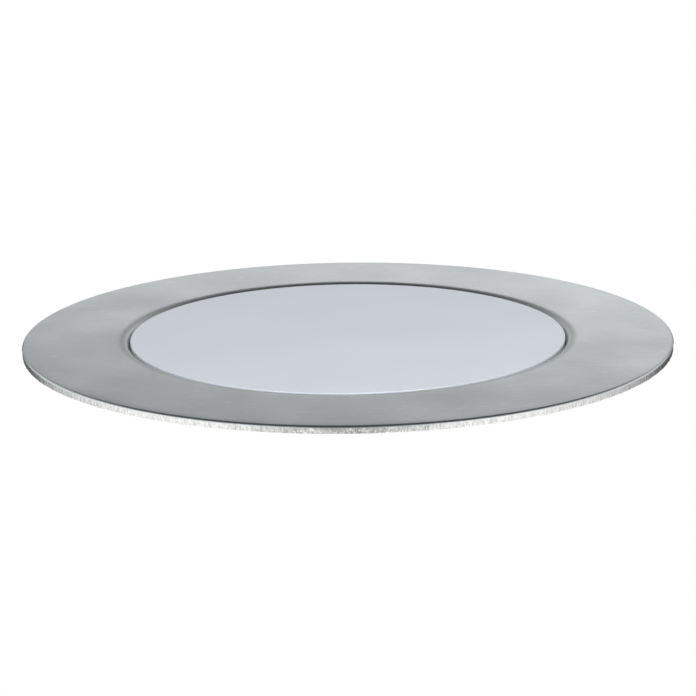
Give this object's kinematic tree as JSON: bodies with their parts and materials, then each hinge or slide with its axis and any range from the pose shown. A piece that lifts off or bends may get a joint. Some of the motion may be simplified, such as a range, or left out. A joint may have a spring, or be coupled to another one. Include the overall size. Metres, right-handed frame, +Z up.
{
  "type": "landscape spotlight",
  "caption": "Round recessed ground spotlight: flush frosted diffuser, sheet-metal trim ring, sunk barrel with LED light engine and driver, sprung gripping clips and a cable gland.",
  "frame": {"origin": "on the light's axis, in the plane of the surface that it is let into, where the trim ring's rim rests", "axes": "+Z up along the axis, out of the surface; +X along the two gripping clips"},
  "size_m": [0.0882, 0.065, 0.0628],
  "materials": {
    "stainless_sheet": "satin brushed stainless sheet with a sheared edge",
    "frosted_diffuser": "frosted translucent moulded cover",
    "barrel_plastic": "black fine-textured moulding",
    "seal_rubber": "black silicone rubber",
    "gland_plastic": "black nylon moulding",
    "spring_steel": "pressed stainless spring sheet",
    "pin_steel": "turned stainless pin",
    "spring_wire": "drawn stainless spring wire",
    "screw_steel": "stainless screws",
    "reflector_plastic": "white reflector moulding",
    "led_board_metal": "white masked metal-core board",
    "led_phosphor": "phosphor-filled package",
    "pad_silicone": "grey thermal silicone",
    "sink_aluminium": "machined aluminium",
    "driver_laminate": "green glass-epoxy board",
    "choke_ferrite": "shielded ferrite",
    "capacitor_can": "drawn aluminium can",
    "chip_epoxy": "black moulding compound",
    "terminal_plastic": "green moulded terminal housing",
    "lead_red_sleeve": "red insulated lead",
    "lead_black_sleeve": "black insulated lead"
  },
  "bodies": {
    "housing": {"trim_ring": "stainless_sheet", "diffuser": "frosted_diffuser", "barrel": "barrel_plastic", "end_cap": "barrel_plastic", "diffuser_gasket": "seal_rubber", "end_cap_seal": "seal_rubber", "gland_washer": "seal_rubber", "gland_seal": "seal_rubber", "gland_body": "gland_plastic", "gland_nut": "gland_plastic", "gland_lock_nut": "gland_plastic", "clip_pin_right": "pin_steel", "clip_pin_left": "pin_steel", "clip_spring_right": "spring_wire", "clip_spring_left": "spring_wire", "board_screws": "screw_steel", "driver_screws": "screw_steel", "end_cap_screws": "screw_steel", "terminal_screws": "screw_steel", "reflector": "reflector_plastic", "led_board": "led_board_metal", "led_chips": "led_phosphor", "thermal_pad": "pad_silicone", "heat_sink": "sink_aluminium", "driver_board": "driver_laminate", "choke": "choke_ferrite", "smoothing_capacitor": "capacitor_can", "driver_chips": "chip_epoxy", "terminal_block": "terminal_plastic", "lead_red": "lead_red_sleeve", "lead_black": "lead_black_sleeve"},
    "clip_right": {"clip_arm_right": "spring_steel"},
    "clip_left": {"clip_arm_left": "spring_steel"}
  },
  "joints": [
    {"name": "clip_right_pivot", "type": "hinge", "parent": "housing", "child": "clip_right", "pos_m": [0.02005, 0, -0.02015], "axis": [0, 1, 0], "range_deg": [0, 90], "stiffness_Nm_per_rad": 0.1, "springref_deg": -57.3, "deforming": ["clip_spring_right"]},
    {"name": "clip_left_pivot", "type": "hinge", "parent": "housing", "child": "clip_left", "pos_m": [-0.02005, 0, -0.02015], "axis": [0, -1, 0], "range_deg": [0, 90], "stiffness_Nm_per_rad": 0.1, "springref_deg": -57.3, "deforming": ["clip_spring_left"]}
  ]
}
